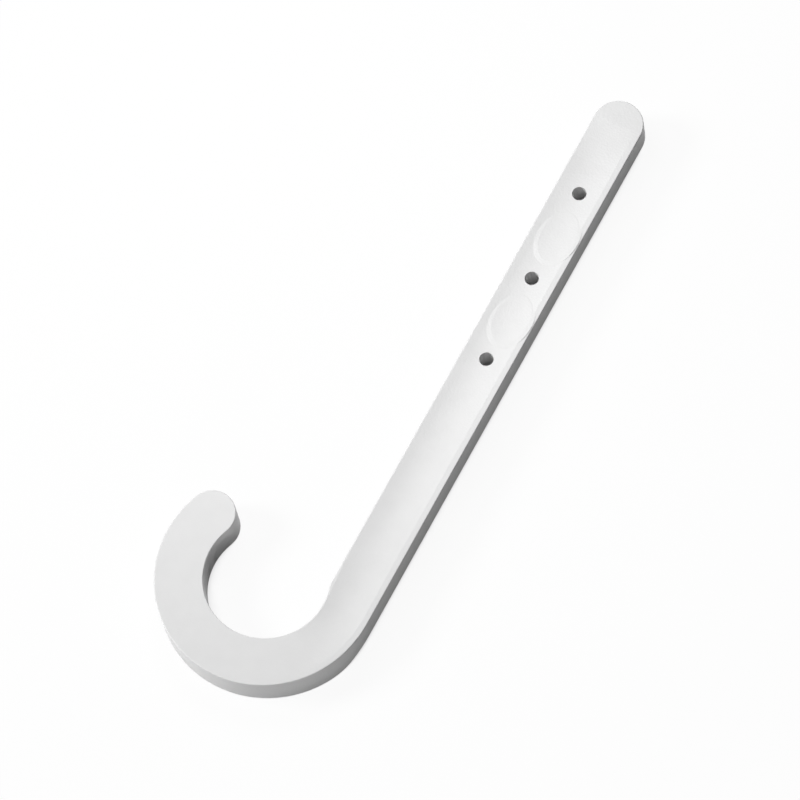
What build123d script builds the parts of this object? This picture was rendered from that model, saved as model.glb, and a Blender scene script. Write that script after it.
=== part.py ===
from build123d import *
import math
import os

# A moulded J-hook that hangs a drain pipe from the side of a joist. Sizes in millimetres, angles in degrees.
# The seat's axis is the Z axis. The shank's back lies on Z = 0, against the joist, and the front faces +Z.
# The shank runs up along +Y on the +X side of the seat, and the tip curls up on the -X side.

# The pipe, and the room that the seat leaves round it
pipe_diameter = 48.3
pipe_clearance = 0.5

# The shank. Its length runs from the seat's axis to the centre of its round end.
shank_width = 20.1
shank_length = 223.0
shank_thickness = 12.8

# The hooked arm. Its tip's centre stands at this angle above the seat's axis, on the side away from the shank.
hook_thickness = 16.5
tip_angle = 22.5

# The shank's inner side stands this far inside the seat's circle, with a rounding between the two
throat_step = 1.4
throat_radius = 12.0

# The ramp on the back from the hook up to the shank. It levels off beside the seat's axis.
ramp_length = 20.5

# Nail holes. The first is this far below the centre of the round end, the others follow at the two pitches.
hole_diameter = 5.6
first_hole_drop = 31.8
hole_pitches = (39.1, 37.0)

# Oval pads on the front, one between each pair of holes, a little towards the outer edge.
# Their rims slope down over this width, and their lower ends stand prouder by this tilt.
pad_length = 24.0
pad_width = 15.8
pad_rise = 0.1
pad_slope = 1.2
pad_shift = 1.0
pad_tilt = 0.4

# A shallow moulded hollow along the shank's front. It deepens round this much of the bend and fades out over
# this length at the round end. It leaves a hair of flat rim on the inside and a wider one on the outside.
hollow_depth = 0.6
hollow_bend = 45.0
hollow_fade = 18.0
hollow_end_depth = 0.01
inner_rim = 0.15
outer_rim = 2.0

# Rounding of the edges, crisp on the front and softer on the back
front_edge_radius = 0.35
back_edge_radius = 0.7

# Extra length by which cutting tools pass the faces that they cut
tool_margin = 2.0

# Worked out from the sizes above
seat_radius = (pipe_diameter + pipe_clearance) / 2
shank_inner = seat_radius - throat_step
outer_radius = shank_inner + shank_width
arm_width = outer_radius - seat_radius
shank_middle = outer_radius - shank_width / 2
back_relief = hook_thickness - shank_thickness
hole_heights = [shank_length - first_hole_drop]
for pitch in hole_pitches:
    hole_heights.append(hole_heights[-1] - pitch)


def outline():
    """The hook's outline: a ring round the seat, the shank along its outer tangent, and two round ends."""
    blend_x = shank_inner + throat_radius
    blend_y = math.sqrt((seat_radius + throat_radius) ** 2 - blend_x**2)
    blend_angle = math.degrees(math.atan2(blend_y, blend_x))
    wrap = 180 + tip_angle
    tip_reach = seat_radius + arm_width / 2
    tip_centre = Vector(-tip_reach, 0).rotate(Axis.Z, -tip_angle)
    sides = [
        Line((outer_radius, 0), (outer_radius, shank_length)),
        CenterArc((shank_middle, shank_length), shank_width / 2, 0, 180),
        Line((shank_inner, shank_length), (shank_inner, blend_y)),
        CenterArc((blend_x, blend_y), throat_radius, 180, blend_angle),
        CenterArc((0, 0), seat_radius, blend_angle, -(wrap + blend_angle)),
        CenterArc(tip_centre, arm_width / 2, -tip_angle, 180),
        CenterArc((0, 0), outer_radius, -wrap, wrap),
    ]
    return make_face(sides)


def back_relief_tool():
    """What is missing behind the shank: a ramp of two tangent arcs, then a flat back for the joist."""
    below = -back_relief - tool_margin
    bend_radius = (ramp_length**2 + back_relief**2) / (4 * back_relief)
    bend_angle = math.degrees(math.asin(ramp_length / 2 / bend_radius))
    far_end = shank_length + shank_width
    rise = JernArc((-ramp_length, -back_relief), (1, 0), bend_radius, bend_angle)
    level_off = JernArc(rise @ 1, rise % 1, bend_radius, -bend_angle)
    flat = Polyline(level_off @ 1, (far_end, 0), (far_end, below), (-ramp_length, below), rise @ 0)
    return extrude(Plane.YZ * make_face([rise, level_off, flat]), outer_radius + tool_margin)


def hollow_section(inner, depth, reach=0):
    """The room above the hollow, on the XZ plane. Its arc dips between the rims and may carry on past both."""
    left = inner + front_edge_radius + inner_rim
    right = outer_radius - front_edge_radius - outer_rim
    half_width = (right - left) / 2
    half_arc = half_width + reach
    arc_radius = (half_width**2 + depth**2) / (2 * depth)
    arc_ends = arc_radius - depth - math.sqrt(arc_radius**2 - half_arc**2)
    top = 2 * tool_margin
    dip = ThreePointArc((-half_arc, arc_ends), (0, -depth), (half_arc, arc_ends))
    room = Polyline(dip @ 1, (half_arc, top), (-half_arc, top), dip @ 0)
    return Plane.XZ * (Pos((left + right) / 2, shank_thickness) * make_face([dip, room]))


def hollow_tool():
    """The hollow deepens round the bend, keeps its depth up the shank and fades out at the round end."""
    sections = []
    for share in (0, 0.25, 0.5, 0.75, 1):
        turn = Rot(0, 0, (share - 1) * hollow_bend)
        sections.append(turn * hollow_section(seat_radius, hollow_end_depth + share * hollow_depth))
    full_depth = hollow_section(shank_inner, hollow_depth)
    sections.append(Pos(0, 2 * throat_radius, 0) * full_depth)
    sections.append(Pos(0, shank_length - hollow_fade, 0) * full_depth)
    sections.append(Pos(0, shank_length, 0) * hollow_section(shank_inner, hollow_end_depth))
    return loft(sections, ruled=True)


def rim_edges(body):
    """The edges between the body's upright walls and its front and back, the longest first."""
    walls = body.faces().filter_by(lambda face: abs(face.normal_at().Z) < 0.01)
    edges = walls.edges().filter_by(lambda edge: abs((edge % 0.5).Z) < 0.9)
    return edges.sort_by(SortBy.LENGTH, reverse=True)


def round_rims(body):
    middle = shank_thickness / 2
    body = fillet(rim_edges(body).filter_by(lambda edge: edge.center().Z > middle), front_edge_radius)
    return fillet(rim_edges(body).filter_by(lambda edge: edge.center().Z < middle), back_edge_radius)


def oval_pad(height):
    """A low oval pad whose top follows the hollow. Its sloping rim runs on into the shank by half its width."""
    oval = Ellipse((pad_width + pad_slope) / 2, (pad_length + pad_slope) / 2)
    place = Pos(shank_middle + pad_shift, height, shank_thickness - tool_margin)
    room = extrude(hollow_section(shank_inner, hollow_depth, pad_width / 2), pad_length, both=True)
    lift = Pos(0, height, shank_thickness + pad_rise) * Rot(-pad_tilt, 0, 0) * Pos(0, 0, -shank_thickness)
    pad = extrude(place * oval, 2 * tool_margin) - lift * room
    top = pad.faces().sort_by(Axis.Z)[-1]
    return chamfer(top.edges(), 1.5 * pad_slope, 1.5 * pad_rise, reference=top)


def nail_hole_tool(height):
    length = shank_thickness + 2 * tool_margin
    place = Pos(shank_middle, height, shank_thickness / 2)
    return place * Cylinder(hole_diameter / 2, length)


def hook_body():
    body = Pos(0, 0, -back_relief) * extrude(outline(), hook_thickness)
    body -= back_relief_tool()
    body = round_rims(body)
    body -= hollow_tool()
    for upper, lower in zip(hole_heights, hole_heights[1:]):
        body += oval_pad((upper + lower) / 2)
    for height in hole_heights:
        body -= nail_hole_tool(height)
    return body


pipe_j_hook = hook_body()
os.makedirs("parts", exist_ok=True)
export_step(pipe_j_hook, "parts/pipe_j_hook.step")
print("volume mm3", round(pipe_j_hook.volume), "box", pipe_j_hook.bounding_box().size)
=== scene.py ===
import math
import bpy
from mathutils import Matrix, Vector


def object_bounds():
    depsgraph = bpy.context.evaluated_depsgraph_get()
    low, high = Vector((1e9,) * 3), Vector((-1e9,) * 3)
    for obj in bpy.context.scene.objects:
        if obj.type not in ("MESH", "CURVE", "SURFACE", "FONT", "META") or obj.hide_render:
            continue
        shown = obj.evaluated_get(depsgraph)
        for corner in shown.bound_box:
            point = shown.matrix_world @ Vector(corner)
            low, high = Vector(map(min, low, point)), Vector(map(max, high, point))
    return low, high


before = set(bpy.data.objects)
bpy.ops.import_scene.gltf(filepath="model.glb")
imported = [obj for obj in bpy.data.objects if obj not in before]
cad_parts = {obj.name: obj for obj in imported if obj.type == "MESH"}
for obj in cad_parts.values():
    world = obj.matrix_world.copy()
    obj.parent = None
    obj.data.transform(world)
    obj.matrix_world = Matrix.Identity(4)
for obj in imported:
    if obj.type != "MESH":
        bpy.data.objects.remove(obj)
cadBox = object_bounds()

print("frame loaded, box", [round(c, 4) for corner in cadBox for c in corner])


def newGroup(name, inputs, outputs):
    group = bpy.data.node_groups.new(name, "ShaderNodeTree")
    for socketName, kind, value in inputs:
        socket = group.interface.new_socket(socketName, in_out="INPUT", socket_type=kind)
        socket.default_value = value
    for socketName, kind in outputs:
        group.interface.new_socket(socketName, in_out="OUTPUT", socket_type=kind)
    return group


def mouldSkin():
    # cloudy patches and a fine grain, sized in the object's own metres
    group = newGroup(
        "mouldSkin",
        [("Patch Size", "NodeSocketFloat", 0.012), ("Grain Size", "NodeSocketFloat", 0.0006)],
        [("Patches", "NodeSocketFloat"), ("Grain", "NodeSocketFloat")],
    )
    nodes, links = group.nodes, group.links
    come, go = nodes.new("NodeGroupInput"), nodes.new("NodeGroupOutput")
    place = nodes.new("ShaderNodeTexCoord")
    for sizeName, outName, detail in (("Patch Size", "Patches", 2.0), ("Grain Size", "Grain", 3.0)):
        scale = nodes.new("ShaderNodeMath")
        scale.operation = "DIVIDE"
        scale.inputs[0].default_value = 1.0
        links.new(come.outputs[sizeName], scale.inputs[1])
        noise = nodes.new("ShaderNodeTexNoise")
        noise.inputs["Detail"].default_value = detail
        links.new(place.outputs["Object"], noise.inputs["Vector"])
        links.new(scale.outputs[0], noise.inputs["Scale"])
        links.new(noise.outputs["Fac"], go.inputs[outName])
    return group


skinGroup = mouldSkin()

plastic = {
    "color": (0.808, 0.808, 0.808),
    "patchColor": (0.762, 0.762, 0.762),
    "roughness": (0.36, 0.46),
    "ior": 1.5,
    "patchSize": 0.007,
    "grainSize": 0.0009,
    "grainHeight": 0.00006,
}


def mixColor(material, factor, low, high):
    mix = material.node_tree.nodes.new("ShaderNodeMix")
    mix.data_type = "RGBA"  # its colour sockets are 6 and 7, and its colour output is 2
    mix.inputs[6].default_value = (*low, 1.0)
    mix.inputs[7].default_value = (*high, 1.0)
    material.node_tree.links.new(factor, mix.inputs[0])
    return mix.outputs[2]


def whitePlastic(look):
    material = bpy.data.materials.new("whitePlastic")
    material.use_nodes = True
    nodes, links = material.node_tree.nodes, material.node_tree.links
    shader = nodes["Principled BSDF"]
    shader.inputs["IOR"].default_value = look["ior"]
    skin = nodes.new("ShaderNodeGroup")
    skin.node_tree = skinGroup
    skin.inputs["Patch Size"].default_value = look["patchSize"]
    skin.inputs["Grain Size"].default_value = look["grainSize"]
    tint = mixColor(material, skin.outputs["Patches"], look["patchColor"], look["color"])
    links.new(tint, shader.inputs["Base Color"])
    sheen = nodes.new("ShaderNodeMapRange")
    sheen.inputs["To Min"].default_value, sheen.inputs["To Max"].default_value = look["roughness"]
    links.new(skin.outputs["Grain"], sheen.inputs["Value"])
    links.new(sheen.outputs["Result"], shader.inputs["Roughness"])
    bump = nodes.new("ShaderNodeBump")
    bump.inputs["Distance"].default_value = look["grainHeight"]
    links.new(skin.outputs["Grain"], bump.inputs["Height"])
    links.new(bump.outputs["Normal"], shader.inputs["Normal"])
    return material


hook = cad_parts["pipe_j_hook"]
hook.data.materials.clear()
hook.data.materials.append(whitePlastic(plastic))
print("white plastic on the hook")

# the floor looks white where it lies open, has a painted shade under and near the hook from an occlusion
# mask, and throws back only a little light
studio = {
    "floorSize": 6.0,
    "floorGap": 0.0002,  # below the hook
    "floorRoughness": 0.9,
    "floorSeen": (0.95, 0.95, 0.95),
    "floorBounce": (0.15, 0.15, 0.15),
    "floorWhite": 0.94,
    # the reach and the first fade below paint a shade on the floor under and near the hook
    "shadeReach": 0.015,
    "shadeFade": (0.2, 0.5),  # shares of open sky at which its white starts and is full
    # the second fade paints a wider shade that only mirror-like rays see, so the floor reflected low in
    # the hook's walls is darker
    "mirrorShadeFade": (0.54, 0.74),
}


def joinValues(nodes, links, operation, first, second):
    join = nodes.new("ShaderNodeMath")
    join.operation = operation
    links.new(first, join.inputs[0])
    links.new(second, join.inputs[1])
    return join.outputs[0]


def isSeen(nodes, links):
    # 1 for rays from the camera, mirror-like and see-through rays, 0 for rays that carry light
    path = nodes.new("ShaderNodeLightPath")
    seen = path.outputs["Is Camera Ray"]
    for name in ("Is Glossy Ray", "Is Transmission Ray"):
        seen = joinValues(nodes, links, "MAXIMUM", seen, path.outputs[name])
    return seen


def whiteShare(nodes, links, look):
    # how much of its own white the floor shows: none close under the hook, where an ambient-occlusion
    # mask paints a shade, nor to rays that carry light
    # mirror-like rays see that painted shade reach further out from the hook
    sky = nodes.new("ShaderNodeAmbientOcclusion")
    sky.inputs["Distance"].default_value = look["shadeReach"]
    whites = {}
    for fadeName in ("shadeFade", "mirrorShadeFade"):
        fade = nodes.new("ShaderNodeMapRange")
        fade.inputs["From Min"].default_value, fade.inputs["From Max"].default_value = look[fadeName]
        fade.inputs["To Max"].default_value = look["floorWhite"]
        links.new(sky.outputs["AO"], fade.inputs["Value"])
        whites[fadeName] = fade.outputs["Result"]
    rays = nodes.new("ShaderNodeLightPath").outputs
    straight = joinValues(nodes, links, "MAXIMUM", rays["Is Camera Ray"], rays["Is Transmission Ray"])
    direct = joinValues(nodes, links, "MULTIPLY", whites["shadeFade"], straight)
    mirrored = joinValues(nodes, links, "MULTIPLY", whites["mirrorShadeFade"], rays["Is Glossy Ray"])
    return joinValues(nodes, links, "MAXIMUM", direct, mirrored)


def paleFloor(look):
    material = bpy.data.materials.new("paleFloor")
    material.use_nodes = True
    nodes, links = material.node_tree.nodes, material.node_tree.links
    shader = nodes["Principled BSDF"]
    shader.inputs["Roughness"].default_value = look["floorRoughness"]
    shader.inputs["Specular IOR Level"].default_value = 0.0
    floorColor = mixColor(material, isSeen(nodes, links), look["floorBounce"], look["floorSeen"])
    links.new(floorColor, shader.inputs["Base Color"])
    white = nodes.new("ShaderNodeEmission")
    mix = nodes.new("ShaderNodeMixShader")
    links.new(whiteShare(nodes, links, look), mix.inputs["Fac"])
    links.new(shader.outputs["BSDF"], mix.inputs[1])
    links.new(white.outputs["Emission"], mix.inputs[2])
    links.new(mix.outputs["Shader"], nodes["Material Output"].inputs["Surface"])
    return material


def addFloor(look):
    half = look["floorSize"] / 2
    mesh = bpy.data.meshes.new("floor")
    corners = [(-half, -half, 0), (half, -half, 0), (half, half, 0), (-half, half, 0)]
    mesh.from_pydata(corners, [], [(0, 1, 2, 3)])
    floor = bpy.data.objects.new("floor", mesh)
    floor.location.z = cadBox[0][2] - look["floorGap"]
    mesh.materials.append(paleFloor(look))
    bpy.context.scene.collection.objects.link(floor)


def setWorld():
    # white where it is seen, and no light of its own
    world = bpy.data.worlds.new("softRoom")
    world.use_nodes = True
    bpy.context.scene.world = world
    nodes, links = world.node_tree.nodes, world.node_tree.links
    background = nodes["Background"]
    background.inputs["Color"].default_value = (1.0, 1.0, 1.0, 1.0)
    links.new(isSeen(nodes, links), background.inputs["Strength"])


addFloor(studio)
setWorld()
print("floor and world")

# the main light comes from the left, with a small lamp above the shank and two weak low ones,
# in front and past the round end
# turn and height are in degrees, seen from lampAim, distance and size in metres
lamps = {
    "left": {"turn": -155.0, "height": 39.0, "distance": 2.5, "size": 0.9, "power": 55.5},
    "above": {"turn": 130.0, "height": 66.0, "distance": 0.4, "size": 0.2, "power": 0.65},
    "front": {"turn": -74.0, "height": 8.0, "distance": 2.0, "size": 0.5, "power": 11.5},
    "end": {"turn": 90.0, "height": 6.0, "distance": 2.0, "size": 0.5, "power": 9.0},
}
lampAim = Vector((0.0, 0.095, 0.0))


def addLamp(name, look):
    lamp = bpy.data.lights.new(name, "AREA")
    lamp.shape = "DISK"
    lamp.size = look["size"]
    lamp.energy = look["power"]
    turn, height = math.radians(look["turn"]), math.radians(look["height"])
    way = Vector((math.cos(height) * math.cos(turn), math.cos(height) * math.sin(turn), math.sin(height)))
    holder = bpy.data.objects.new(name, lamp)
    holder.location = lampAim + way * look["distance"]
    holder.rotation_euler = way.to_track_quat("Z", "Y").to_euler()
    holder.visible_camera = False
    bpy.context.scene.collection.objects.link(holder)


for name, look in lamps.items():
    addLamp(name, look)
print("lamps:", ", ".join(lamps))

view = {
    "target": (0.00724, 0.09012, -0.0037),
    "distance": 2.5,
    "tilt": 20.86,  # from straight above the front
    "turn": -48.18,
    "roll": 29.43,
    "lens": 292.62,
    "sensor": 36.0,
    "farClip": 50.0,
}


def addCamera(look):
    tilt, turn, roll = (math.radians(look[key]) for key in ("tilt", "turn", "roll"))
    back = Vector((math.sin(tilt) * math.cos(turn), math.sin(tilt) * math.sin(turn), math.cos(tilt)))
    side = Vector((0, 1, 0)).cross(back).normalized()
    up = back.cross(side)
    right = side * math.cos(roll) + up * math.sin(roll)
    top = back.cross(right)
    data = bpy.data.cameras.new("camera")
    data.sensor_width = look["sensor"]
    data.lens = look["lens"]
    data.clip_end = look["farClip"]
    camera = bpy.data.objects.new("camera", data)
    spot = Vector(look["target"]) + back * look["distance"]
    camera.matrix_world = Matrix.Translation(spot) @ Matrix((right, top, back)).transposed().to_4x4()
    bpy.context.scene.collection.objects.link(camera)
    bpy.context.scene.camera = camera


addCamera(view)
bpy.context.scene.view_settings.view_transform = "Standard"
print("camera set")
